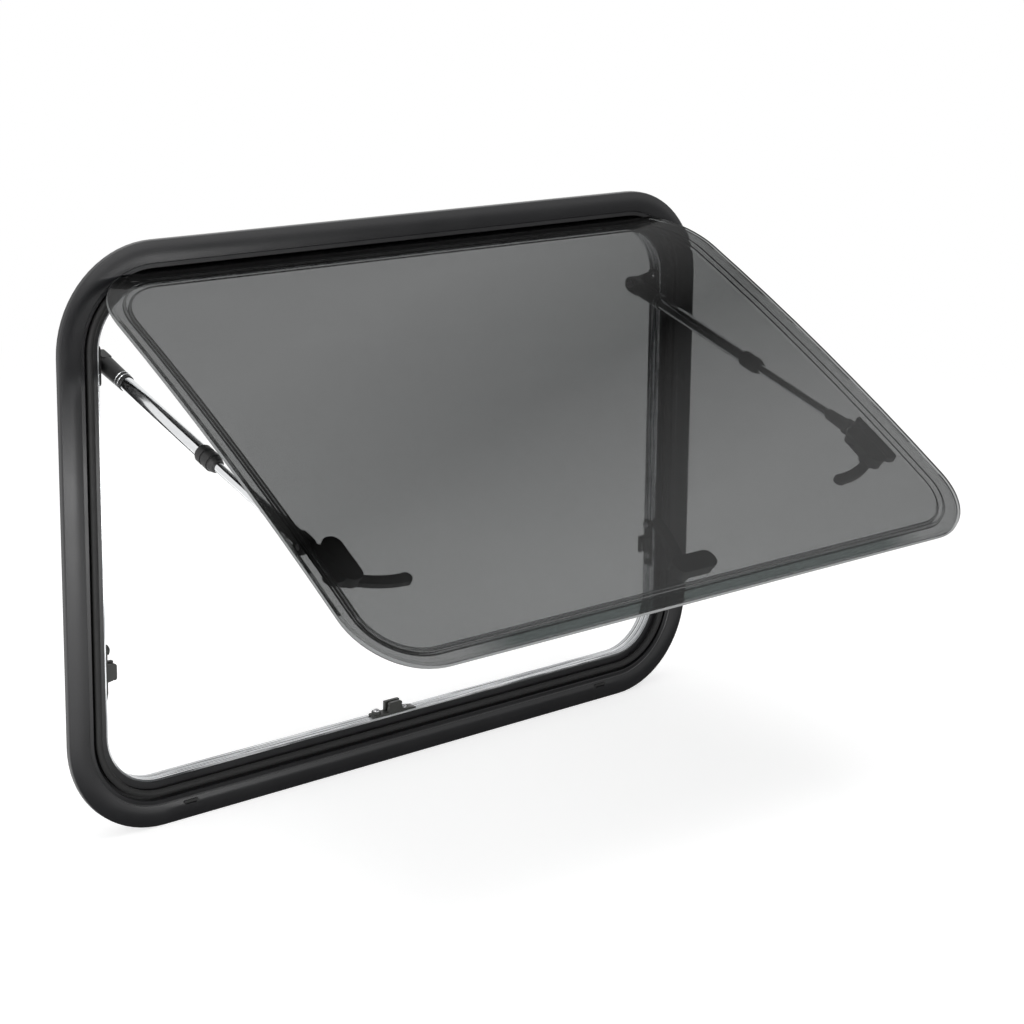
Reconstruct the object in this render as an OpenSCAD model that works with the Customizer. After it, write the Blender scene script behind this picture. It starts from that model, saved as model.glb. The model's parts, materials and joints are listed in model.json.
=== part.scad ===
// Top hinged caravan window with a bent aluminium frame, a double acrylic pane, two telescopic stays and three latches

/* [Frame] */
// Width over the outer edge of the frame
frame_w = 700; // [620:10:900]
// Height over the outer edge of the frame
frame_h = 500; // [440:10:600]
// Radius of the frame's outer corners
frame_r = 88; // [80:1:110]
// How far the face of the frame stands proud of the wall
face_rise = 7; // [5:0.5:9]
// Thickness of the wall that the frame and the clamp ring hold
wall_t = 13; // [12:1:40]

/* [Pane] */
// Angle by which the pane is open
open_angle = 60; // [0:0.5:65]
// Gap at each side from the edge of the pane to the edge of the frame
side_gap = 23; // [20:0.5:26]
// Gap below the closed pane to the edge of the frame
foot_gap = 18.8; // [17:0.2:22]
// Radius of the pane's corners
pane_r = 62; // [50:1:70]
// Bow of the pane between the hinge and its free edge
pane_bow = 9; // [2:0.5:12]
// Thickness of the outer sheet
sheet_t = 3; // [2:0.5:4]

/* [Stays] */
// Distance of each stay from the middle of the window
stay_x = 297; // [290:0.5:298]
// Distance of the pane's stay pivot from the top edge of the pane
stay_s = 313.6; // [290:0.2:330]
// Diameter of the stay tube
tube_d = 12; // [10:0.5:13]
// Diameter of the stay rod
rod_d = 8; // [6:0.5:9]

/* [Latches] */
// Distance of each side latch from the middle of the window
latch_x = 284.5; // [276:0.5:284.5]
// Distance of the side latches from the top edge of the pane
latch_s = 339; // [325:1:345]
// Distance of the middle latch from the top edge of the pane
middle_s = 415; // [405:1:418]
// Sideways place of the middle latch
middle_x = 11; // [-15:1:15]
// Angle of the latch levers, 0 points at the middle of the pane
lever_turn = 0; // [0:5:90]

/* [Hidden] */

// Frame section, measured inwards from the outer edge and outwards from the wall
face_w = 18.5;
step_w = 23;
step_v = 4.8;
seat_w = 21;
floor_v = -2;
rim_in = 38;
rim_v = -0.3;
leg_t = 2;
lip_top = -0.8;
seal_in = 26.6;
seal_out = 31;
seal_top = 6;
ring_in = 39.6;
ring_t = 2;
ring_out = 10;
groove_w = 1;
groove_d = 0.4;
groove_pitch = 2.5;
mid_z = frame_h / 2 - seat_w / 2;
top_z = mid_z + frame_h / 2;

// Drain slots in the lower face
drain_x = 236;
drain_d = 14;
drain_w = 14;

// Hinge, measured from its axis to the pane's outer face and top edge
hinge_e = 7.2;
hinge_a = 8.8;
hinge_y = -3.8;
hinge_z = top_z - 34;
bead_r = 1.6;
socket_in = 1.75;
socket_out = 2.95;
rail_half = 260;
cap_t = 4;
plate_half = 286;
plate_t = 1.2;
plate_h = 11.6;
plate_mid = 2.1;

// Pane and its curvature about a level axis inside the window
pane_w = frame_w - 2 * side_gap;
pane_top = hinge_z + hinge_a;
pane_h = pane_top - (mid_z - frame_h / 2) - foot_gap;
bow_r = (pow(pane_h / 2, 2) + pow(pane_bow, 2)) / (2 * pane_bow);
bow_y = bow_r - hinge_e - pane_bow;
bow_z = hinge_a - pane_h / 2;
rim_t = 2;
rim_inset = 2;
glue_t = 0.4;
glue_w = 3;
step1 = 13.5;
step2 = 18.5;
wall_w = 2;
ledge_d = 7.5;
sash_d = 11;

// Stay pivots on the frame and on the pane, and the line between them
pin_r = 2.5;
stay_y = wall_t + ring_t + 9;
frame_pivot = [stay_y, top_z - 98];
foot_lift = 9.4;
foot_phi = asin((hinge_a - stay_s - bow_z) / (bow_r - sash_d));
foot_rad = bow_r - sash_d - foot_lift;
foot_local = [bow_y - foot_rad * cos(foot_phi), bow_z + foot_rad * sin(foot_phi)];
foot_pivot = [
  hinge_y + foot_local[0] * cos(open_angle) + foot_local[1] * sin(open_angle),
  hinge_z - foot_local[0] * sin(open_angle) + foot_local[1] * cos(open_angle)
];
stay_run = foot_pivot - frame_pivot;
stay_len = norm(stay_run);
stay_tilt = atan2(-stay_run[0], stay_run[1]);
end_len = 44;
tube_start = 28;
tube_len = 147;
tube_wall = 1.4;
collar_start = 159;
collar_len = 23;
rod_len = 186;
eye_w = 8;
eye_gap = 0.5;
eye_r = 7.5;
rod_eye_r = 6;
bracket_t = 2.5;
ear_t = 4;

// Catches on the frame
catch_y = 7.6;
catch_len = 47;

// Latch sizes, with the spindle's place seen from the middle of the base
base_w = 17;
base_len = 44;
base_h = 10;
hub_at = [-1.5, -8];
hub_r = 8;
spindle_d = 8;
lever_t = 4.4;
lever_w = 9;
thumb_r = 5;
lever_tip = [49.5, 14];
lever_bend = 95;
round_fn = 96;
bow_fn = 720;

// A rounded rectangle of exact arcs, in the plane of X and Y
module rounded(w, h, r) {
  square([w - 2 * r, h], center = true);
  square([w, h - 2 * r], center = true);
  for (sx = [-1, 1], sy = [-1, 1])
    translate([sx * (w / 2 - r), sy * (h / 2 - r)]) circle(r, $fn = round_fn);
}

// Sweeps a section round a rounded rectangle, with X inwards from its edge and Y out of the wall
module swept_ring(w, h, r) {
  translate([0, 0, mid_z]) rotate([90, 0, 0])
    for (q = [0:3]) {
      side = q % 2 == 0 ? [w / 2, h / 2] : [h / 2, w / 2];
      rotate(90 * q) {
        translate([side[0], 0, 0]) rotate([90, 0, 0])
          linear_extrude(2 * (side[1] - r), center = true) mirror([1, 0]) children();
        translate([side[0] - r, side[1] - r, 0])
          rotate_extrude(angle = 90, $fn = round_fn) translate([r, 0]) mirror([1, 0]) children();
      }
    }
}

// Places a piece on the sash, whose own frame has its origin on the hinge axis
module on_sash() {
  translate([0, hinge_y, hinge_z]) rotate([-open_angle, 0, 0]) children();
}

// Places a piece on the back of the sash at a distance from its top edge, with Y into the room
module on_back(x, s) {
  phi = asin((hinge_a - s - bow_z) / (bow_r - sash_d));
  on_sash() translate([x, bow_y, bow_z]) rotate([-phi, 0, 0])
    translate([0, sash_d - bow_r, 0]) children();
}

// A curved sheet between two depths below the outer face, cut to an outline
module bowed(depth, t, inset, r_cut = 0) {
  intersection() {
    translate([0, 0, bow_z]) rotate([90, 0, 0])
      linear_extrude(80, center = true)
        difference() {
          rounded(pane_w - 2 * inset, pane_h - 2 * inset, pane_r - inset);
          if (r_cut > 0)
            rounded(pane_w - 2 * (inset + r_cut), pane_h - 2 * (inset + r_cut), pane_r - inset - r_cut);
        }
    translate([0, bow_y, bow_z]) rotate([0, 90, 0])
      difference() {
        cylinder(r = bow_r - depth, h = pane_w + 20, center = true, $fn = bow_fn);
        cylinder(r = bow_r - depth - t, h = pane_w + 30, center = true, $fn = bow_fn);
      }
  }
}

// The proud face of the frame, a shallow crown with a round outer edge
module face_section() {
  edge_r = 5;
  crown_r = 36;
  intersection() {
    translate([face_w / 2, face_rise - crown_r]) circle(crown_r, $fn = 240);
    union() {
      translate([edge_r, edge_r - 1.4]) circle(edge_r, $fn = 64);
      square([edge_r, edge_r - 1.4]);
      translate([edge_r, 0]) square([face_w - edge_r, face_rise + 1]);
    }
  }
}

// The stepped part of the frame that holds the seal and runs through the wall
module step_section() {
  polygon([
    [face_w, 0], [face_w, step_v + 0.4], [face_w + 0.8, step_v], [step_w - 0.4, step_v], [step_w, step_v - 0.4],
    [step_w, floor_v], [seal_in - 1, floor_v], [seal_in - 1, lip_top], [seal_in, lip_top], [seal_in, floor_v - 0.8],
    [seal_out, floor_v - 0.8], [seal_out, lip_top], [seal_out + 1, rim_v], [rim_in - 0.6, rim_v], [rim_in, rim_v - 0.6],
    [rim_in, -wall_t], [rim_in - leg_t, -wall_t], [rim_in - leg_t, floor_v - 2.8], [seat_w + 3, floor_v - 2.8],
    [seat_w, floor_v - 0.8], [seat_w, 0]
  ]);
}

module outer_frame() {
  color("#1c1b1d") difference() {
    swept_ring(frame_w, frame_h, frame_r) {
      union() {
        face_section();
        step_section();
      }
    }
    for (sx = [-1, 1]) translate([sx * drain_x, -face_rise, mid_z - frame_h / 2 + drain_d])
      rotate([90, 0, 0]) linear_extrude(6, center = true) slot(drain_w - 2, 1.4);
  }
}

// A level bar with round ends
module slot(len, h) {
  square([len - h, h], center = true);
  for (sx = [-1, 1]) translate([sx * (len - h) / 2, 0]) circle(h / 2, $fn = 24);
}

module frame_seal() {
  bulb_r = 2.9;
  mid = (seal_in + seal_out) / 2;
  color("#151515") difference() {
    swept_ring(frame_w, frame_h, frame_r) {
      union() {
        translate([seal_in, floor_v - 0.8]) square([seal_out - seal_in, 2]);
        translate([mid - 1.4, floor_v]) square([2.8, seal_top - bulb_r - floor_v]);
        translate([mid, seal_top - bulb_r]) circle(bulb_r, $fn = 48);
      }
    }
    translate([-288, -20, top_z - 60]) cube([576, 20 + 0.8, 60]);
  }
}

// The bright ring inside the room, with fine grooves along the face that lines the opening
module clamp_ring() {
  color("#c9cacb") swept_ring(frame_w, frame_h, frame_r)
    difference() {
      polygon([
        [rim_in, rim_v - 0.9], [ring_in - 0.4, rim_v - 0.9], [ring_in, rim_v - 1.3], [ring_in, -wall_t - ring_t],
        [ring_out + 1, -wall_t - ring_t], [ring_out, -wall_t - ring_t + 1], [ring_out, -wall_t], [rim_in, -wall_t]
      ]);
      for (k = [1:4]) translate([ring_in - groove_d, -1.5 - k * groove_pitch]) square([groove_d + 1, groove_w]);
    }
}

// The fixed half of the hinge, a round socket that is open towards the pane
module socket_section() {
  mouth_from = 98;
  mouth_to = 200;
  reach = 2 * socket_out;
  difference() {
    circle(socket_out, $fn = 64);
    circle(socket_in, $fn = 64);
    polygon([
      [0, 0], reach * [cos(mouth_from), sin(mouth_from)], reach * [-1, 1], reach * [-1, 0],
      reach * [cos(mouth_to), sin(mouth_to)]
    ]);
  }
  translate([socket_in + 0.5, -1.3]) square([-hinge_y - rim_v - socket_in - 0.5, 2.6]);
  translate([-hinge_y - rim_v - 0.8, -3]) square([0.8, 6]);
}

// Turns a section in the plane of Y and Z into a bar along X
module bar(from, to) {
  translate([from, 0, 0]) rotate([90, 0, 90]) linear_extrude(to - from) children();
}

module hinge_rail() {
  color("#202022") translate([0, hinge_y, hinge_z]) bar(-rail_half, rail_half) socket_section();
}

module rail_cap(side) {
  from = side > 0 ? rail_half : -rail_half - cap_t;
  color("#18181a") translate([0, hinge_y, hinge_z]) bar(from, from + cap_t) {
    circle(socket_out, $fn = 64);
    translate([0, -3]) square([-hinge_y - rim_v, 6]);
  }
}
module left_rail_cap() { rail_cap(-1); }
module right_rail_cap() { rail_cap(1); }

// The moving half of the hinge, a plate behind the outer sheet with a neck and a bead
module sash_hinge() {
  back = -hinge_e + sheet_t;
  phi = asin((plate_mid - bow_z) / (bow_r - sheet_t));
  color("#202022") on_sash() {
    intersection() {
      translate([0, bow_y, bow_z]) rotate([-phi, 0, 0]) translate([0, sheet_t - bow_r, 0])
        bar(-plate_half, plate_half) translate([0, -plate_h / 2]) square([plate_t, plate_h]);
      translate([0, 0, bow_z]) rotate([90, 0, 0])
        linear_extrude(80, center = true) rounded(pane_w - 1.6, pane_h - 1.6, pane_r - 0.8);
    }
    bar(-rail_half + 1, rail_half - 1) {
      translate([back, -0.6]) square([-back, 1.2]);
      circle(bead_r, $fn = 48);
    }
  }
}

module outer_pane() {
  color([0.32, 0.33, 0.33, 0.6]) on_sash() bowed(0, sheet_t, 0);
}

// The inner sheet has a rim behind the outer sheet and a dome that drops in two steps
module inner_pane() {
  color([0.36, 0.37, 0.37, 0.5]) on_sash() difference() {
    union() {
      bowed(sheet_t, glue_t + 0.4, rim_inset, glue_w);
      bowed(sheet_t + glue_t, rim_t, rim_inset, step1 + wall_w - rim_inset);
      bowed(sheet_t + glue_t, ledge_d - sheet_t - glue_t, step1, wall_w);
      bowed(ledge_d - rim_t, rim_t, step1, step2 + wall_w - step1);
      bowed(ledge_d - rim_t, sash_d - ledge_d + rim_t, step2, wall_w);
      bowed(sash_d - rim_t, rim_t, step2);
    }
    translate([-plate_half - 0.5, -hinge_e, -4.2]) cube([2 * plate_half + 1, hinge_e + 2, 20]);
  }
}

// A small hood on the frame's face above each drain slot
module drain_cover(side) {
  hood_h = 2.4;
  hood_t = 2;
  color("#26262a") translate([side * drain_x, -face_rise + 1.4, mid_z - frame_h / 2 + drain_d + 1.8])
    rotate([90, 0, 0]) linear_extrude(hood_t) slot(drain_w, hood_h);
}
module left_drain_cover() { drain_cover(-1); }
module right_drain_cover() { drain_cover(1); }

// A catch on the frame's inner face, with X along it from its screw boss, Y into the room and Z away from the face
module catch_shape() {
  plate_w = 10;
  plate_h = 2;
  from = 16;
  to = 32;
  top = 10.7;
  rotate([90, 0, 0]) linear_extrude(plate_w, center = true)
    polygon([[0, 0], [catch_len, 0], [catch_len, 0.8], [catch_len - 6, plate_h], [0, plate_h]]);
  translate([5, 0, plate_h - 0.5]) cylinder(r = 4.4, h = 3, $fn = 48);
  translate([0, 4.4, 0]) rotate([90, 0, 0]) linear_extrude(3.4)
    polygon([[from, 0], [from + 6.5, 0], [from + 6.5, top - 2.2], [to, top - 2.2], [to, top], [from, top]]);
  translate([0, -1.6, 0]) rotate([90, 0, 0]) linear_extrude(3.4) {
    polygon([[from, 0], [to, 0], [to - 1, top - 4], [to - 2, top - 3], [to - 2, top - 2], [from + 2, top - 2],
      [from + 2, top - 3], [from + 1, top - 4]]);
    for (x = [from + 3, to - 3]) translate([x, top - 2]) circle(2, $fn = 32);
    translate([from + 3, top - 2]) square([to - from - 6, 2]);
  }
}

module bottom_catch() {
  color("#3a3b38") translate([-33, catch_y, mid_z - frame_h / 2 + ring_in]) catch_shape();
}
module side_catch(side) {
  boss_z = pane_top - latch_s + 30;
  color("#3a3b38") mirror([side > 0 ? 1 : 0, 0, 0])
    translate([ring_in - frame_w / 2, catch_y, boss_z]) rotate([0, 90, 0]) catch_shape();
}
module left_side_catch() { side_catch(-1); }
module right_side_catch() { side_catch(1); }

// The point where a line from p touches a circle of radius r round the origin
function touch(p, r, turn) = let (a = atan2(p[1], p[0]) + turn * acos(r / norm(p))) r * [cos(a), sin(a)];

// A plate on the jamb whose arm reaches back to a round boss for the stay's pin
module stay_bracket(side) {
  jamb = frame_w / 2 - ring_in;
  inner = stay_x + eye_w / 2 + eye_gap;
  plate_y = 8.6 - stay_y;
  upper = [plate_y + 4, 13];
  lower = [plate_y + 4, -15];
  color("#232324") mirror([side > 0 ? 1 : 0, 0, 0]) translate([0, frame_pivot[0], frame_pivot[1]]) difference() {
    union() {
      bar(-jamb, bracket_t - jamb) {
        translate([plate_y, -1.5]) rounded(12, 33, 3);
        polygon([upper, touch(upper, eye_r, -1), touch(lower, eye_r, 1), lower]);
        circle(eye_r, $fn = round_fn);
      }
      translate([-jamb, 0, 0]) rotate([0, 90, 0])
        cylinder(r1 = eye_r, r2 = eye_r - 1, h = jamb - inner, $fn = round_fn);
    }
    translate([bracket_t - jamb, 0, 0]) rotate([0, 90, 0]) cylinder(r = pin_r, h = 30, $fn = 48);
  }
}
module left_stay_bracket() { stay_bracket(-1); }
module right_stay_bracket() { stay_bracket(1); }

// A pin along X from an outer plane inwards, with a round head on its inner end
module pivot_pin(side, outer, inner, at) {
  head_t = 2;
  color("#8f9092") translate([side * outer, at[0], at[1]]) rotate([0, -side * 90, 0]) {
    cylinder(r = pin_r, h = outer - inner, $fn = 48);
    translate([0, 0, outer - inner]) cylinder(r = pin_r + 1.5, h = head_t, $fn = 48);
  }
}
module left_frame_pin() {
  pivot_pin(-1, frame_w / 2 - ring_in - bracket_t, stay_x - eye_w / 2, frame_pivot);
}
module right_frame_pin() {
  pivot_pin(1, frame_w / 2 - ring_in - bracket_t, stay_x - eye_w / 2, frame_pivot);
}

// Places a piece on a stay, with Z from the frame's pivot towards the pane's pivot
module on_stay(side) {
  translate([side * stay_x, frame_pivot[0], frame_pivot[1]]) rotate([stay_tilt, 0, 0]) children();
}

// A round eye across the stay with a square root, which points along Z for a positive length
module eye(r, root) {
  rotate([0, 90, 0]) cylinder(r = r, h = eye_w, center = true, $fn = round_fn);
  translate([-eye_w / 2, -r, min(root, 0)]) cube([eye_w, 2 * r, abs(root)]);
}
module eye_bore() {
  rotate([0, 90, 0]) cylinder(r = pin_r, h = eye_w + 2, center = true, $fn = 48);
}

module stay_end(side) {
  sleeve_from = 10;
  color("#29292a") on_stay(side) difference() {
    union() {
      eye(eye_r, sleeve_from + 1);
      translate([0, 0, sleeve_from])
        cylinder(r1 = eye_r, r2 = tube_d / 2 + 0.8, h = end_len - sleeve_from, $fn = round_fn);
    }
    eye_bore();
    translate([0, 0, tube_start]) cylinder(d = tube_d, h = end_len, $fn = round_fn);
  }
}
module stay_tube(side) {
  color("#c8c9cb") on_stay(side) translate([0, 0, tube_start]) difference() {
    cylinder(d = tube_d, h = tube_len, $fn = round_fn);
    translate([0, 0, -1]) cylinder(d = tube_d - 2 * tube_wall, h = tube_len + 2, $fn = round_fn);
  }
}
module stay_collar(side) {
  tube_end = tube_start + tube_len;
  cone_len = 4;
  color("#232324") on_stay(side) difference() {
    union() {
      translate([0, 0, collar_start]) cylinder(d = tube_d + 1.6, h = collar_len - cone_len, $fn = round_fn);
      for (z = [1.5, 11]) translate([0, 0, collar_start + z]) cylinder(d = tube_d + 3, h = 6, $fn = round_fn);
      translate([0, 0, collar_start + collar_len - cone_len])
        cylinder(d1 = tube_d + 1.6, d2 = tube_d - 1, h = cone_len, $fn = round_fn);
    }
    translate([0, 0, collar_start - 1]) cylinder(d = tube_d, h = tube_end - collar_start + 1, $fn = round_fn);
    cylinder(d = rod_d, h = collar_start + collar_len + 1, $fn = round_fn);
  }
}
module stay_rod(side) {
  color("#d2d3d5") on_stay(side)
    translate([0, 0, stay_len - 16 - rod_len]) cylinder(d = rod_d, h = rod_len, $fn = round_fn);
}
module rod_eye(side) {
  sleeve_to = 10;
  color("#29292a") on_stay(side) translate([0, 0, stay_len]) difference() {
    union() {
      eye(rod_eye_r, -sleeve_to - 1);
      translate([0, 0, -32]) cylinder(r1 = rod_d / 2 + 1, r2 = rod_eye_r, h = 32 - sleeve_to, $fn = round_fn);
    }
    eye_bore();
    translate([0, 0, -40]) cylinder(d = rod_d, h = 24, $fn = round_fn);
  }
}
module left_stay_end() { stay_end(-1); }
module right_stay_end() { stay_end(1); }
module left_stay_tube() { stay_tube(-1); }
module right_stay_tube() { stay_tube(1); }
module left_stay_collar() { stay_collar(-1); }
module right_stay_collar() { stay_collar(1); }
module left_stay_rod() { stay_rod(-1); }
module right_stay_rod() { stay_rod(1); }
module left_rod_eye() { rod_eye(-1); }
module right_rod_eye() { rod_eye(1); }

// The stay's foot on the pane, a bar with a screw boss and an ear outside the rod's eye
module stay_foot(side) {
  bar_x = stay_x + 3;
  bar_from = stay_s + 7.4;
  bar_len = 39;
  ear_from = stay_x + eye_w / 2 + eye_gap;
  color("#2b2b2c") difference() {
    union() {
      on_back(side * bar_x, bar_from + bar_len / 2) rotate([-90, 0, 0]) {
        linear_extrude(5) rounded(12, bar_len, 4);
        translate([0, bar_len / 2 - 10, 0]) cylinder(r = 5.6, h = 8, $fn = round_fn);
      }
      on_back(side * (ear_from + ear_t / 2), stay_s) rotate([0, 90, 0]) linear_extrude(ear_t, center = true) {
        translate([-rod_eye_r - 0.5, 0]) square([rod_eye_r + 16, 5]);
        translate([-rod_eye_r - 0.5, 0]) square([2 * rod_eye_r + 1, foot_lift]);
        translate([0, foot_lift]) circle(rod_eye_r + 0.5, $fn = round_fn);
      }
    }
    on_back(side * ear_from, stay_s) translate([0, foot_lift, 0]) rotate([0, 90, 0])
      cylinder(r = pin_r, h = 3 * ear_t, center = true, $fn = 48);
  }
}
module left_stay_foot() { stay_foot(-1); }
module right_stay_foot() { stay_foot(1); }

module left_sash_pin() {
  pivot_pin(-1, stay_x + eye_w / 2 + eye_gap + ear_t, stay_x - eye_w / 2, foot_pivot);
}
module right_sash_pin() {
  pivot_pin(1, stay_x + eye_w / 2 + eye_gap + ear_t, stay_x - eye_w / 2, foot_pivot);
}

// The body of a latch, a low block with round ends on a thin flange
module latch_base_shape() {
  difference() {
    rotate([-90, 0, 0]) {
      linear_extrude(3) rounded(base_w, base_len, base_w / 2 - 0.5);
      linear_extrude(base_h) rounded(base_w - 1.6, base_len - 1.6, base_w / 2 - 1.3);
    }
    at_hub() rotate([-90, 0, 0]) translate([0, 0, 2]) cylinder(d = spindle_d, h = base_h, $fn = 48);
  }
}
module at_hub() {
  translate([hub_at[0], 0, hub_at[1]]) children();
}
module latch_spindle_shape() {
  at_hub() rotate([-90, 0, 0]) translate([0, 0, 2]) {
    cylinder(d = spindle_d, h = base_h + lever_t - 2, $fn = 48);
    translate([0, 0, base_h + lever_t - 2]) cylinder(d = spindle_d + 2, h = 1.2, $fn = 48);
  }
}

// The lever turns on the spindle and bows towards the pane's free edge, with its tip along X
module lever_shape() {
  half = norm(lever_tip) / 2;
  across = [lever_tip[1], -lever_tip[0]] / norm(lever_tip);
  bend = lever_tip / 2 + across * sqrt(pow(lever_bend, 2) - pow(half, 2));
  translate([0, base_h, 0]) rotate([-90, 0, 0]) linear_extrude(lever_t) difference() {
    union() {
      circle(hub_r, $fn = round_fn);
      translate(bend) intersection() {
        difference() {
          circle(lever_bend + lever_w / 2, $fn = 360);
          circle(lever_bend - lever_w / 2, $fn = 360);
        }
        polygon([[0, 0], -1.2 * bend, 1.2 * (lever_tip / 2 - bend), 1.2 * (lever_tip - bend)]);
      }
      translate(lever_tip) circle(thumb_r, $fn = 48);
    }
    circle(spindle_d / 2, $fn = 48);
  }
}

// A side latch sits lengthways down the pane, and its lever points at the middle of the pane
module side_latch(side) {
  on_back(side * latch_x, latch_s) mirror([side > 0 ? 1 : 0, 0, 0]) children();
}
module latch_base(side) {
  color("#2b2b2c") side_latch(side) latch_base_shape();
}
module latch_spindle(side) {
  color("#6a6b6d") side_latch(side) latch_spindle_shape();
}
module latch_lever(side) {
  color("#242425") side_latch(side) at_hub() rotate([0, lever_turn, 0]) lever_shape();
}
module left_latch_base() { latch_base(-1); }
module right_latch_base() { latch_base(1); }
module left_latch_spindle() { latch_spindle(-1); }
module right_latch_spindle() { latch_spindle(1); }
module left_latch_lever() { latch_lever(-1); }
module right_latch_lever() { latch_lever(1); }

// The middle latch lies level along the pane's lower edge, and its lever points at the hinge
module middle_latch() {
  on_back(middle_x, middle_s) rotate([0, 90, 0]) children();
}
module middle_latch_base() {
  color("#2b2b2c") middle_latch() latch_base_shape();
}
module middle_latch_spindle() {
  color("#6a6b6d") middle_latch() latch_spindle_shape();
}
module middle_latch_lever() {
  color("#242425") middle_latch() at_hub() rotate([0, 180 + lever_turn, 0]) lever_shape();
}

outer_frame();
frame_seal();
clamp_ring();
hinge_rail();
left_rail_cap();
right_rail_cap();
left_drain_cover();
right_drain_cover();
left_side_catch();
right_side_catch();
bottom_catch();
left_stay_bracket();
right_stay_bracket();
left_frame_pin();
right_frame_pin();
left_stay_end();
left_stay_tube();
left_stay_collar();
left_stay_rod();
left_rod_eye();
right_stay_end();
right_stay_tube();
right_stay_collar();
right_stay_rod();
right_rod_eye();
left_sash_pin();
right_sash_pin();
left_stay_foot();
right_stay_foot();
outer_pane();
inner_pane();
sash_hinge();
left_latch_base();
right_latch_base();
middle_latch_base();
left_latch_spindle();
right_latch_spindle();
middle_latch_spindle();
left_latch_lever();
right_latch_lever();
middle_latch_lever();
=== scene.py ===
import json
import math

import bmesh
import bpy
from mathutils import Matrix, Vector


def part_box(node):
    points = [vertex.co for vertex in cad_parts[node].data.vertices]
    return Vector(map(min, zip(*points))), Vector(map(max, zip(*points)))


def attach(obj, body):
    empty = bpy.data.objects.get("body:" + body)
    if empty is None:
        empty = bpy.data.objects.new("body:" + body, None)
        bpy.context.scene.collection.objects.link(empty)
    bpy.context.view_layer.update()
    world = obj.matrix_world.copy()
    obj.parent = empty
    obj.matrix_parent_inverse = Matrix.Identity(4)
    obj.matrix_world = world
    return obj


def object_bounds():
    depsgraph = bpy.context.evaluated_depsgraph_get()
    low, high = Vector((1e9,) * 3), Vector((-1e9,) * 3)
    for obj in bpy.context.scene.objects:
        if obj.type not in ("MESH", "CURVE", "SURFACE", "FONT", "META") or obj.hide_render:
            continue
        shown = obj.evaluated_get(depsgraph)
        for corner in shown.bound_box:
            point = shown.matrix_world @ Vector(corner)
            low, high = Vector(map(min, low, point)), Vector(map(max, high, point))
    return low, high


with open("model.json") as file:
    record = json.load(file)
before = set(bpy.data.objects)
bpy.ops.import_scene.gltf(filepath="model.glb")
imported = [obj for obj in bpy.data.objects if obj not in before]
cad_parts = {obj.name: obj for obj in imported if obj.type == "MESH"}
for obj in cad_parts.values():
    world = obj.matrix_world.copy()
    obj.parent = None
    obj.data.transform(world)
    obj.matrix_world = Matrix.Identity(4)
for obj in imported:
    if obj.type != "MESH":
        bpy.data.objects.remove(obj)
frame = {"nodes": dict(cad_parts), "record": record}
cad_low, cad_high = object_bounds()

NODES = frame["nodes"]
SCENE = bpy.context.scene

# Camera, as fitted to the frame and the pane in the photograph
PHOTO_SIZE = 1024
CAMERA_AZIMUTH = -40.44
CAMERA_ELEVATION = 11.29
CAMERA_ROLL = 0.67
CAMERA_DISTANCE = 2.134
CAMERA_FOCAL_PIXELS = 2310
CAMERA_TARGET = Vector((0.123, 0, 0.3504))
CAMERA_SHIFT_PIXELS = -160
CAMERA_CLIP = (0.05, 60)
SENSOR_WIDTH = 36

# Floor, backdrop and lamps
WHITE = (1, 1, 1, 1)
DIMMED = 0.05
FLOOR_Z = cad_low.z
FLOOR_HALF_SIDE = 12
FLOOR_COLOUR = (0.6, 0.6, 0.6)
FLOOR_GLOW = 0.64
FLOOR_FADE = (0.7, 2.0)
DARK_STRIP = 0.46
DARK_STRIP_HALF_WIDTH = 0.18
WORLD_FILL = 0.4
FRAME_AIM = (0, 0, 0.25)
LAMPS = (
    ("top", (-0.3, -0.6, 2.6), FRAME_AIM, (2.4, 1.6), 40),
    ("left", (-2.4, -0.8, 1.1), FRAME_AIM, (1.2, 1.8), 22),
    ("front", (0.9, -2.8, 1.3), FRAME_AIM, (1.8, 1.2), 10),
    ("low", (-0.05, -0.95, 0.08), (-0.33, 0, 0.25), (0.7, 0.16), 2.6),
    ("left_edge", (-1.2, -0.45, 0.1), (-0.35, 0, 0.3), (0.25, 0.2), 5),
)

# Sizes of the window that the small pieces need, in metres
OPEN_ANGLE = math.radians(60)
HINGE = Vector((0, -0.0038, 0.4555))
HINGE_TO_EDGE = 0.0088
HINGE_TO_FACE = 0.0072
PANE_HEIGHT = 0.456
PANE_BOW = 0.009
PANE_NORMAL = (0, -math.cos(OPEN_ANGLE), math.sin(OPEN_ANGLE))
SASH_DEPTH = 0.011
STAY_X = 0.297
STAY_PIVOT = (0.024, 0.3915)
STAY_FOOT = (0.3136, 0.0094)

# Smoked acrylic, and a darker band painted along the pane's lower margin as a painted dark reflection, in
# metres down from the hinge
ACRYLIC_IOR = 1.3
SMOKE_COLOUR = (0.5, 0.505, 0.505, 1)
SMOKE_DENSITY = 570
PAINTED_REFLECTION_COLOUR = (0.34, 0.40, 0.39)
PAINTED_REFLECTION_FROM = 0.4345
PAINTED_REFLECTION_TO = 0.4455
PAINTED_REFLECTION_FADE = 0.0008
PAINTED_REFLECTION_SIDE_FADE = (0.20, 0.25)

# Radius and height of each kind of screw head, in metres
CATCH_SCREW = (0.0031, 0.0018)
BRACKET_SCREW = (0.0033, 0.0019)
FOOT_SCREW = (0.0040, 0.0020)
RING_SCREW = (0.0036, 0.0020)

# Shape of a screw head, as shares of its radius and height
SPIN_STEPS = 32
SCREW_PROFILE = ((1.0, 0.0), (1.0, 0.22), (0.95, 0.48), (0.82, 0.78), (0.62, 1.0))
RECESS_REACH = 0.48
RECESS_HALF_WIDTH = 0.11
RECESS_DEPTH = 0.65
RECESS_TAPER = 0.8
SMOOTH_BELOW = math.radians(35)

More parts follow.
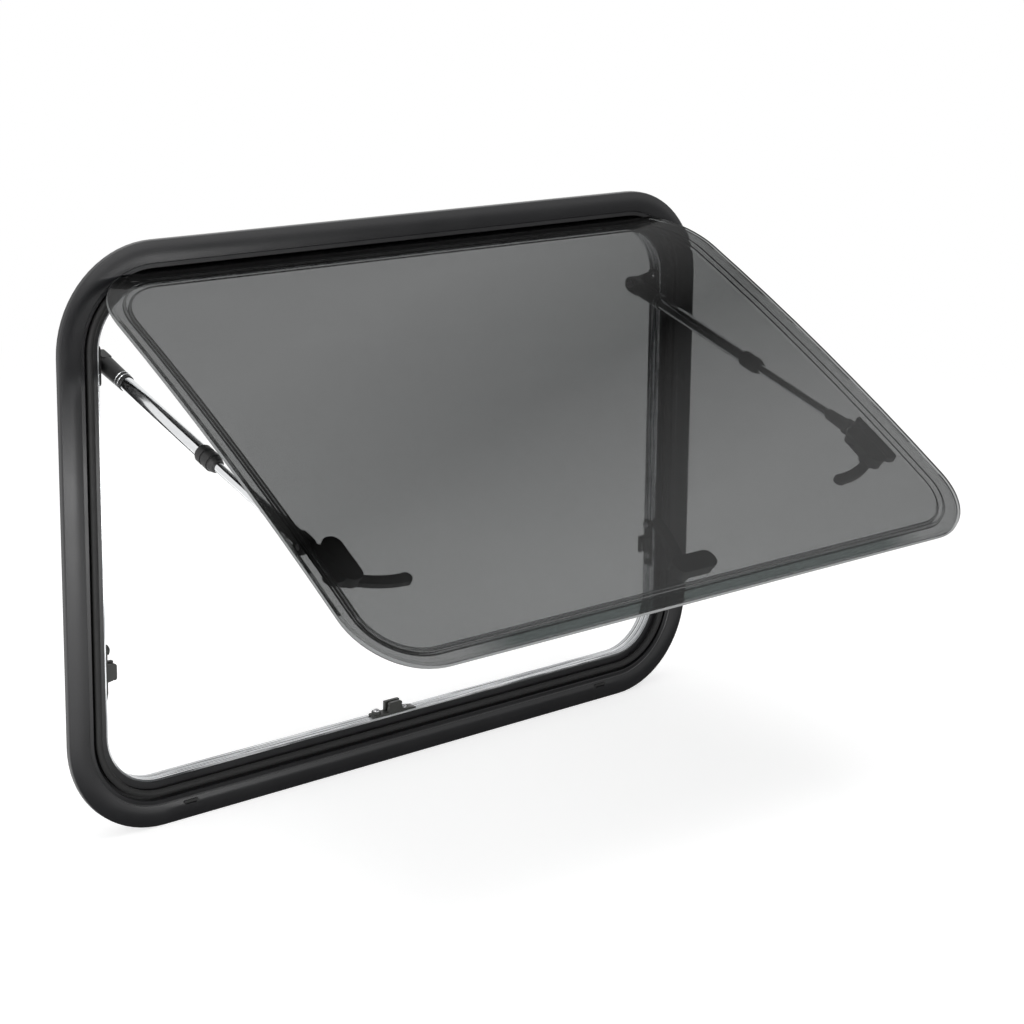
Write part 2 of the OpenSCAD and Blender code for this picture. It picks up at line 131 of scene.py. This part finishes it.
# Places of the screws, in metres
CATCH_SCREW_SPOTS = ((0.005, 0.0045), (0.036, 0.002))
BRACKET_SCREW_INSET = 0.0055
BRACKET_SCREW_DEPTH = 0.006
BRACKET_PLATE = 0.0025
FOOT_SCREW_SPOT = (0.3, 0.35, 0.008)
RING_BACK = 0.015
RING_MIDDLE_Z = 0.2395
RING_SCREW_COLUMN = 0.35 - 0.024
RING_SCREW_ROW = 0.25 - 0.024
RING_SCREW_X = (-0.22, -0.11, 0, 0.11, 0.22)
RING_SCREW_Z = (-0.12, 0, 0.12)

# The two trim rings of a stay: distance from the pin, and radius and height round one ring
STAY_RING_PLACES = (0.0365, 0.0405)
STAY_RING_PROFILE = (
    (0.0062, 0),
    (0.0072, 0),
    (0.0074, 0.0004),
    (0.0074, 0.0008),
    (0.0072, 0.0012),
    (0.0062, 0.0012),
)


class Nodes:
    """A short way to build the node tree of a material or a world."""

    def __init__(self, owner, output="OutputMaterial", place="Object"):
        owner.use_nodes = True
        self.owner = owner
        self.tree = owner.node_tree
        self.tree.nodes.clear()
        self.output = self.add(output)
        self.place = self.add("TexCoord").outputs[place]

    def add(self, kind, **inputs):
        """Adds a node and fills its inputs, named with _ for a space, or n0, n1 and so on by number."""
        made = self.tree.nodes.new("ShaderNode" + kind)
        for key, value in inputs.items():
            by_number = key[0] == "n" and key[1:].isdigit()
            self.feed(made.inputs[int(key[1:]) if by_number else key.replace("_", " ")], value)
        return made

    def feed(self, socket, value):
        """Links a socket to another one, or sets its number or colour."""
        if isinstance(value, bpy.types.NodeSocket):
            self.tree.links.new(value, socket)
        else:
            socket.default_value = value

    def noise(self, scale, detail=2.0, roughness=0.5, stretch=None):
        source = self.place
        if stretch:
            source = self.add("Mapping", Vector=self.place, Scale=stretch).outputs[0]
        return self.add("TexNoise", Vector=source, Scale=scale, Detail=detail, Roughness=roughness).outputs[0]

    def spread(self, value, low, high, start=0.3, end=0.7):
        """Maps the range from start to end onto the range from low to high."""
        ramp = self.add("MapRange", Value=value, From_Min=start, From_Max=end, To_Min=low, To_Max=high)
        return ramp.outputs[0]

    def tint(self, value, first, second):
        """A colour between two, of which each is three numbers or a socket."""
        mix = self.add("Mix")
        mix.data_type = "RGBA"
        self.feed(mix.inputs[0], value)
        for socket, colour in ((mix.inputs[6], first), (mix.inputs[7], second)):
            self.feed(socket, colour if isinstance(colour, bpy.types.NodeSocket) else (*colour, 1))
        return mix.outputs[2]

    def bump(self, height, strength, distance):
        return self.add("Bump", Height=height, Strength=strength, Distance=distance).outputs[0]

    def math(self, operation, first, second=0):
        made = self.add("Math", n0=first, n1=second)
        made.operation = operation
        return made.outputs[0]

    def vector_math(self, operation, first, second=(0, 0, 0)):
        made = self.add("VectorMath", n0=first, n1=second)
        made.operation = operation
        return made.outputs["Value"]

    def finish(self, shader):
        self.tree.links.new(shader.outputs[0], self.output.inputs[0])
        return self.owner


def powder_coat(name, dark, light, rough_low, rough_high, gloss):
    """Satin powder coat with a fine orange peel and faint handling marks."""
    n = Nodes(bpy.data.materials.new(name))
    cloud = n.noise(14, detail=5, roughness=0.6)
    peel = n.noise(900, detail=1)
    shader = n.add(
        "BsdfPrincipled",
        Base_Color=n.tint(cloud, dark, light),
        Roughness=n.spread(cloud, rough_low, rough_high),
        Normal=n.bump(peel, 0.12, 0.0004),
        Specular_IOR_Level=gloss,
    )
    return n.finish(shader)


def moulded_plastic(name, dark, light, rough_low, rough_high, gloss):
    """Fine spark grain of an injection mould, with a slow change of gloss."""
    n = Nodes(bpy.data.materials.new(name))
    cloud = n.noise(60, detail=4, roughness=0.6)
    grain = n.noise(1800, detail=2)
    shader = n.add(
        "BsdfPrincipled",
        Base_Color=n.tint(cloud, dark, light),
        Roughness=n.spread(cloud, rough_low, rough_high),
        Normal=n.bump(grain, 0.2, 0.0003),
        Specular_IOR_Level=gloss,
    )
    return n.finish(shader)


def soft_rubber(name):
    """Extruded rubber with a dull, slightly dusty skin."""
    n = Nodes(bpy.data.materials.new(name))
    dust = n.noise(90, detail=6, roughness=0.7)
    shader = n.add(
        "BsdfPrincipled",
        Base_Color=n.tint(dust, (0.012, 0.012, 0.012), (0.022, 0.022, 0.022)),
        Roughness=n.spread(dust, 0.55, 0.8),
        Normal=n.bump(dust, 0.15, 0.0004),
        Specular_IOR_Level=0.25,
    )
    return n.finish(shader)


def drawn_metal(name, dark, light, rough_low, rough_high, stretch, softness):
    """Metal with fine lines along one direction, which are crisp where the softness is low."""
    n = Nodes(bpy.data.materials.new(name))
    lines = n.noise(500, detail=3, roughness=0.7, stretch=stretch)
    lines = n.spread(lines, 0, 1, start=0.5 - softness, end=0.5 + softness)
    shader = n.add(
        "BsdfPrincipled",
        Base_Color=n.tint(lines, dark, light),
        Roughness=n.spread(lines, rough_low, rough_high),
        Normal=n.bump(lines, 0.08, 0.0002),
        Metallic=1,
    )
    return n.finish(shader)


def painted_reflection_band(n, clear):
    """The pane's clear colour, with a darker band along the lower margin: a painted dark reflection."""
    parts = n.add("SeparateXYZ", Vector=n.place)
    outward = n.math("SUBTRACT", HINGE.y, parts.outputs["Y"])
    below = n.math("SUBTRACT", HINGE.z, parts.outputs["Z"])
    outward = n.math("MULTIPLY", outward, math.sin(OPEN_ANGLE))
    down = n.math("ADD", outward, n.math("MULTIPLY", below, math.cos(OPEN_ANGLE)))
    begins = n.spread(down, 0, 1, start=PAINTED_REFLECTION_FROM, end=PAINTED_REFLECTION_FROM + PAINTED_REFLECTION_FADE)
    ends = n.spread(down, 1, 0, start=PAINTED_REFLECTION_TO - PAINTED_REFLECTION_FADE, end=PAINTED_REFLECTION_TO)
    side = n.math("ABSOLUTE", parts.outputs["X"])
    middle = n.spread(side, 1, 0, start=PAINTED_REFLECTION_SIDE_FADE[0], end=PAINTED_REFLECTION_SIDE_FADE[1])
    share = n.math("MULTIPLY", n.math("MULTIPLY", begins, ends), middle)
    return n.tint(share, clear, PAINTED_REFLECTION_COLOUR)


def smoked_acrylic(name, outer_sheet):
    """Acrylic smoked through its thickness; the outer sheet adds a sawn edge and a painted dark reflection.
    """
    n = Nodes(bpy.data.materials.new(name))
    clear = n.tint(n.noise(3.5, detail=2), (0.97, 0.975, 0.975), (0.99, 0.99, 0.99))
    # Painted dark reflection: a darker band of colour along the outer sheet's lower margin
    if outer_sheet:
        clear = painted_reflection_band(n, clear)
    shader = n.add(
        "BsdfPrincipled",
        Base_Color=clear,
        Roughness=n.spread(n.noise(40, detail=5), 0.01, 0.04),
        Normal=n.bump(n.noise(6, detail=1), 0.04, 0.001),
        Transmission_Weight=1,
        IOR=ACRYLIC_IOR,
    )
    smoke = n.add("VolumeAbsorption", Color=SMOKE_COLOUR, Density=SMOKE_DENSITY)
    n.tree.links.new(smoke.outputs[0], n.output.inputs["Volume"])
    if not outer_sheet:
        return n.finish(shader)
    facing_out = n.vector_math("DOT_PRODUCT", n.add("NewGeometry").outputs["True Normal"], PANE_NORMAL)
    on_edge = n.spread(n.math("ABSOLUTE", facing_out), 1, 0, start=0.3, end=0.5)
    sawn = n.add(
        "BsdfPrincipled",
        Base_Color=n.tint(n.noise(300, detail=4), (0.12, 0.125, 0.125), (0.17, 0.175, 0.175)),
        Roughness=0.4,
    )
    return n.finish(n.add("MixShader", n0=on_edge, n1=shader.outputs[0], n2=sawn.outputs[0]))


FINISHES = {
    "frame_black": powder_coat(
        "frame powder coat", (0.005, 0.005, 0.006), (0.008, 0.008, 0.009), 0.28, 0.36, 0.5
    ),
    "seal_rubber": soft_rubber("seal rubber"),
    "bright_aluminium": drawn_metal(
        "anodised aluminium", (0.26, 0.27, 0.28), (0.86, 0.87, 0.88), 0.24, 0.34, (0.02, 1.6, 0.02), 0.12
    ),
    # Painted light: the hinge coat is coloured lighter than the frame's black to lighten the shaded channel
    # it sits in
    "hinge_black": powder_coat(
        "hinge coat with painted light", (0.042, 0.042, 0.044), (0.056, 0.056, 0.058), 0.34, 0.46, 0.5
    ),
    "smoked_acrylic": smoked_acrylic("outer smoked acrylic", True),
    "inner_acrylic": smoked_acrylic("inner smoked acrylic", False),
    "stay_chrome": drawn_metal(
        "polished stay tube", (0.70, 0.71, 0.72), (0.84, 0.85, 0.86), 0.08, 0.16, (1, 0.05, 1), 0.3
    ),
    "black_plastic": moulded_plastic(
        "black moulding", (0.016, 0.016, 0.016), (0.026, 0.026, 0.026), 0.36, 0.48, 0.35
    ),
    "catch_plastic": moulded_plastic(
        "catch moulding", (0.026, 0.027, 0.025), (0.038, 0.039, 0.036), 0.4, 0.52, 0.35
    ),
    "pin_steel": drawn_metal(
        "pin steel", (0.36, 0.36, 0.37), (0.48, 0.48, 0.49), 0.25, 0.4, (1, 1, 0.1), 0.4
    ),
}


def dress_nodes():
    """Gives every CAD node the finish that the record names for it."""
    for row in frame["record"]["subparts"]:
        piece = NODES[row["node"]]
        piece.data.materials.clear()
        piece.data.materials.append(FINISHES[row["material_slot"]])


def to_mesh(name, bm):
    """Turns a bmesh into a mesh and frees it."""
    mesh = bpy.data.meshes.new(name)
    bm.to_mesh(mesh)
    bm.free()
    return mesh


def to_object(name, data):
    """Adds an object with a mesh, lamp or camera to the scene."""
    made = bpy.data.objects.new(name, data)
    SCENE.collection.objects.link(made)
    return made


def add_piece(name, bm, slot):
    """Turns a bmesh in the row frame into a piece with its finish."""
    bmesh.ops.recalc_face_normals(bm, faces=bm.faces)
    for face in bm.faces:
        face.smooth = True
    for edge in bm.edges:
        edge.smooth = len(edge.link_faces) == 2 and edge.calc_face_angle(0) < SMOOTH_BELOW
    mesh = to_mesh(name, bm)
    mesh.materials.append(FINISHES[slot])
    piece = to_object(name, mesh)
    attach(piece, "root")


def facing(place, axis):
    """A matrix whose Z points along an axis from a place."""
    turn = Vector(axis).to_track_quat("Z", "Y").to_matrix().to_4x4()
    return Matrix.Translation(Vector(place)) @ turn


def on_back(x, down, height):
    """A matrix above the back of the sash at a distance from its top edge, with Z into the room."""
    bow_radius = ((PANE_HEIGHT / 2) ** 2 + PANE_BOW**2) / (2 * PANE_BOW)
    bow_y = bow_radius - HINGE_TO_FACE - PANE_BOW
    bow_z = HINGE_TO_EDGE - PANE_HEIGHT / 2
    phi = math.asin((HINGE_TO_EDGE - down - bow_z) / (bow_radius - SASH_DEPTH))
    sash = Matrix.Translation(HINGE) @ Matrix.Rotation(-OPEN_ANGLE, 4, "X")
    back = Matrix.Translation((x, bow_y, bow_z)) @ Matrix.Rotation(-phi, 4, "X")
    upright = Matrix.Rotation(math.radians(-90), 4, "X")
    lift = Matrix.Translation((0, SASH_DEPTH - bow_radius + height, 0)) @ upright
    return sash @ back @ lift


def spin_profile(bm, profile, closed):
    """Spins a profile of radius and height pairs once round Z."""
    corners = [bm.verts.new((radius, 0, height)) for radius, height in profile]
    edges = [bm.edges.new(pair) for pair in zip(corners, corners[1:])]
    if closed:
        edges.append(bm.edges.new((corners[-1], corners[0])))
    bmesh.ops.spin(
        bm,
        geom=corners + edges,
        cent=(0, 0, 0),
        axis=(0, 0, 1),
        angle=2 * math.pi,
        steps=SPIN_STEPS,
        use_merge=True,
    )


def corners_of(geometry):
    """The vertices in what an operator gives back."""
    return [item for item in geometry if isinstance(item, bmesh.types.BMVert)]


def screw_head(radius, height):
    """The mesh of a round screw head with a cross recess, which stands on the plane of X and Y."""
    bm = bmesh.new()
    spin_profile(bm, [(radius * r, height * h) for r, h in SCREW_PROFILE], False)
    rims = [edge for edge in bm.edges if edge.is_boundary]
    foot = [edge for edge in rims if edge.verts[0].co.z + edge.verts[1].co.z < height]
    bmesh.ops.edgeloop_fill(bm, edges=foot)
    head = set(bm.faces)

    # The mouth of the recess: a square with an arm extruded from each side
    half = RECESS_HALF_WIDTH * radius
    arm = RECESS_REACH * radius
    top = Matrix.Translation((0, 0, height))
    square = bmesh.ops.create_grid(bm, x_segments=1, y_segments=1, size=half, matrix=top)["verts"]
    for edge in {edge for corner in square for edge in corner.link_edges}:
        outward = (edge.verts[0].co + edge.verts[1].co) / 2
        outward.z = 0
        arm_end = corners_of(bmesh.ops.extrude_edge_only(bm, edges=[edge])["geom"])
        bmesh.ops.translate(bm, vec=outward.normalized() * (arm - half), verts=arm_end)

    # The recess's bed, and the flat top round its mouth
    mouth = [face for face in bm.faces if face not in head]
    bed = corners_of(bmesh.ops.extrude_face_region(bm, geom=mouth)["geom"])
    bmesh.ops.translate(bm, vec=(0, 0, -RECESS_DEPTH * height), verts=bed)
    bmesh.ops.scale(bm, vec=(RECESS_TAPER, RECESS_TAPER, 1), verts=bed)
    bmesh.ops.delete(bm, geom=[face for face in mouth if face.is_valid], context="FACES")
    rims = [edge for edge in bm.edges if edge.is_boundary]
    bmesh.ops.triangle_fill(bm, use_beauty=True, edges=rims)
    return to_mesh("screw head", bm)


def build_copies(name, mesh, places, slot):
    """A piece with one copy of a mesh at each place."""
    bm = bmesh.new()
    for place in places:
        count = len(bm.verts)
        bm.from_mesh(mesh)
        bm.verts.ensure_lookup_table()
        bmesh.ops.transform(bm, matrix=place, verts=bm.verts[count:])
    bpy.data.meshes.remove(mesh)
    add_piece(name, bm, slot)


def jamb_wall(node, inward):
    """The place of a node's face on the jamb, and the node's box."""
    low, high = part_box(node)
    return low.x if inward > 0 else high.x, low, high


def build_catch_screws():
    """Two screws on each catch, one on its boss and one on its thin end."""
    low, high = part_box("bottom_catch")
    middle_y = (low.y + high.y) / 2
    places = []
    for along, lift in CATCH_SCREW_SPOTS:
        places.append(facing((low.x + along, middle_y, low.z + lift), (0, 0, 1)))
    for node, inward in (("left_side_catch", 1), ("right_side_catch", -1)):
        wall_x, low, high = jamb_wall(node, inward)
        for along, lift in CATCH_SCREW_SPOTS:
            places.append(facing((wall_x + inward * lift, middle_y, high.z - along), (inward, 0, 0)))
    build_copies("catch_screws", screw_head(*CATCH_SCREW), places, "pin_steel")


def build_stay_screws():
    """Two screws through each stay bracket into the jamb, and one on the boss of each stay foot."""
    places = []
    for node, inward in (("left_stay_bracket", 1), ("right_stay_bracket", -1)):
        wall_x, low, high = jamb_wall(node, inward)
        for z in (low.z + BRACKET_SCREW_INSET, high.z - BRACKET_SCREW_INSET):
            spot = (wall_x + inward * BRACKET_PLATE, low.y + BRACKET_SCREW_DEPTH, z)
            places.append(facing(spot, (inward, 0, 0)))
    build_copies("bracket_screws", screw_head(*BRACKET_SCREW), places, "pin_steel")
    x, down, height = FOOT_SCREW_SPOT
    places = [on_back(side * x, down, height) for side in (-1, 1)]
    build_copies("stay_foot_screws", screw_head(*FOOT_SCREW), places, "pin_steel")


def build_stay_rings():
    """Two thin bright rings near the end of each stay's upper sleeve."""
    ring = bmesh.new()
    spin_profile(ring, STAY_RING_PROFILE, True)
    places = []
    for side in (-1, 1):
        start = Vector((side * STAY_X, *STAY_PIVOT))
        along = (on_back(side * STAY_X, *STAY_FOOT).translation - start).normalized()
        places += [facing(start + along * distance, along) for distance in STAY_RING_PLACES]
    build_copies("stay_rings", to_mesh("stay ring", ring), places, "stay_chrome")


def build_ring_screws():
    """A row of screws through the back of the clamp ring."""
    spots = [(x, side * RING_SCREW_ROW) for x in RING_SCREW_X for side in (-1, 1)]
    spots += [(side * RING_SCREW_COLUMN, z) for z in RING_SCREW_Z for side in (-1, 1)]
    places = [facing((x, RING_BACK, RING_MIDDLE_Z + z), (0, 1, 0)) for x, z in spots]
    build_copies("clamp_ring_screws", screw_head(*RING_SCREW), places, "pin_steel")


def ray_kinds(n):
    """How far a ray is gloss, how far it passed no glass, and how far it shows a thing directly."""
    paths = n.add("LightPath")
    glossy = n.math("MINIMUM", paths.outputs["Glossy Depth"], 1)
    through_glass = n.math("MINIMUM", paths.outputs["Transmission Depth"], 1)
    open_air = n.math("SUBTRACT", 1, through_glass)
    direct = n.math("MAXIMUM", paths.outputs["Is Camera Ray"], paths.outputs["Is Transmission Ray"])
    direct = n.math("MULTIPLY", direct, n.math("SUBTRACT", 1, glossy))
    return glossy, open_air, direct


def back_left(n, parts):
    """A value that grows towards the back left, behind the open pane."""
    slant = n.math("SUBTRACT", parts.outputs["Y"], parts.outputs["X"])
    return n.math("MINIMUM", slant, n.math("MULTIPLY", parts.outputs["Y"], 3))


def floor_material():
    """White to the camera, with the object's shadow near it, and darker in gloss in three places."""
    n = Nodes(bpy.data.materials.new("studio floor"))
    glossy, open_air, direct = ray_kinds(n)
    parts = n.add("SeparateXYZ", Vector=n.place)

    # How bright gloss sees it: dimmed near the foot, to the right and, through the pane, at the back left
    front = n.math("MULTIPLY", parts.outputs["Y"], -1)
    behind = n.spread(front, 1, 0, start=-0.1, end=0)
    near_foot = n.spread(front, 0.15, 1, start=0.08, end=0.25)
    to_right = n.spread(parts.outputs["X"], 1, 0.3, start=0.3, end=0.8)
    bright = n.spread(back_left(n, parts), 1, DIMMED, start=0.15, end=0.7)
    bright = n.math("MAXIMUM", bright, open_air)
    bright = n.math("MULTIPLY", bright, n.math("MAXIMUM", behind, near_foot))
    bright = n.math("MULTIPLY", bright, n.math("MAXIMUM", behind, to_right))
    gloss = n.math("MULTIPLY", glossy, bright)
    seen = n.math("MAXIMUM", direct, gloss)

    # A lit floor near the object, and plain white further away
    far = n.spread(n.vector_math("LENGTH", n.place), 0, 1, start=FLOOR_FADE[0], end=FLOOR_FADE[1])
    lit_share = n.math("MAXIMUM", n.math("SUBTRACT", 1, glossy), gloss)
    lit = n.add("BsdfDiffuse", Color=n.tint(lit_share, (0, 0, 0), FLOOR_COLOUR))
    glow = n.add("Emission", Color=WHITE, Strength=n.math("MULTIPLY", seen, FLOOR_GLOW))
    near = n.add("AddShader", n0=lit.outputs[0], n1=glow.outputs[0])
    plain = n.add("Emission", Color=WHITE, Strength=seen)
    plain_share = n.math("MULTIPLY", n.math("MAXIMUM", seen, glossy), far)
    return n.finish(n.add("MixShader", n0=plain_share, n1=near.outputs[0], n2=plain.outputs[0]))


def build_floor():
    """A wide floor just under the frame."""
    bm = bmesh.new()
    level = Matrix.Translation((0, 0, FLOOR_Z))
    bmesh.ops.create_grid(bm, x_segments=1, y_segments=1, size=FLOOR_HALF_SIDE, matrix=level)
    floor = to_object("floor", to_mesh("floor", bm))
    floor.data.materials.append(floor_material())


def build_world():
    """White to the camera and through glass, partly dimmed white to gloss, and a plain fill to the rest."""
    n = Nodes(bpy.data.worlds.new("studio"), "OutputWorld", "Generated")
    glossy, open_air, direct = ray_kinds(n)
    parts = n.add("SeparateXYZ", Vector=n.place)

    # How bright gloss sees it: dimmed in a strip of the ceiling and, through the pane, at the back left
    horizon = n.spread(parts.outputs["Z"], 1, 0, start=0.15, end=0.45)
    across = n.math("SUBTRACT", parts.outputs["X"], parts.outputs["Y"])
    off_strip = n.math("ABSOLUTE", n.math("SUBTRACT", across, DARK_STRIP))
    ceiling = n.spread(off_strip, DIMMED, 1, start=0, end=DARK_STRIP_HALF_WIDTH)
    side = n.spread(back_left(n, parts), 1, DIMMED, start=-0.1, end=0.3)
    side = n.math("MAXIMUM", side, open_air)
    bright = n.math("MULTIPLY", n.math("MAXIMUM", horizon, ceiling), side)
    gloss = n.math("MULTIPLY", glossy, bright)

    fill = n.math("MULTIPLY", n.math("SUBTRACT", 1, glossy), WORLD_FILL)
    other = n.math("MULTIPLY", n.math("ADD", gloss, fill), n.math("SUBTRACT", 1, direct))
    SCENE.world = n.finish(n.add("Background", Color=WHITE, Strength=n.math("ADD", direct, other)))


def soft_lamp(name, place, aim, size, power):
    """A rectangular area lamp that points at a spot and is itself seen only in gloss."""
    data = bpy.data.lights.new(name, "AREA")
    data.shape = "RECTANGLE"
    data.size, data.size_y = size
    data.energy = power
    lamp = to_object(name, data)
    lamp.location = place
    lamp.rotation_mode = "QUATERNION"
    lamp.rotation_quaternion = (Vector(aim) - Vector(place)).to_track_quat("-Z", "Y")
    lamp.visible_camera = False
    lamp.visible_transmission = False


def build_camera():
    """Puts the camera where the photograph was taken from."""
    azimuth = math.radians(CAMERA_AZIMUTH)
    elevation = math.radians(CAMERA_ELEVATION)
    level_part = math.cos(elevation)
    back = Vector(
        (math.sin(azimuth) * level_part, -math.cos(azimuth) * level_part, math.sin(elevation))
    )
    data = bpy.data.cameras.new("photo camera")
    data.sensor_width = SENSOR_WIDTH
    data.lens = CAMERA_FOCAL_PIXELS / PHOTO_SIZE * SENSOR_WIDTH
    data.shift_y = CAMERA_SHIFT_PIXELS / PHOTO_SIZE
    data.clip_start, data.clip_end = CAMERA_CLIP
    camera = to_object("photo camera", data)
    level = (-back).to_track_quat("-Z", "Y").to_matrix().to_4x4()
    roll = Matrix.Rotation(math.radians(CAMERA_ROLL), 4, "Z")
    camera.matrix_world = Matrix.Translation(CAMERA_TARGET + back * CAMERA_DISTANCE) @ level @ roll
    SCENE.camera = camera


dress_nodes()
build_catch_screws()
build_stay_screws()
build_stay_rings()
build_ring_screws()
build_floor()
build_world()
for lamp_row in LAMPS:
    soft_lamp(*lamp_row)
build_camera()
SCENE.view_settings.view_transform = "Standard"
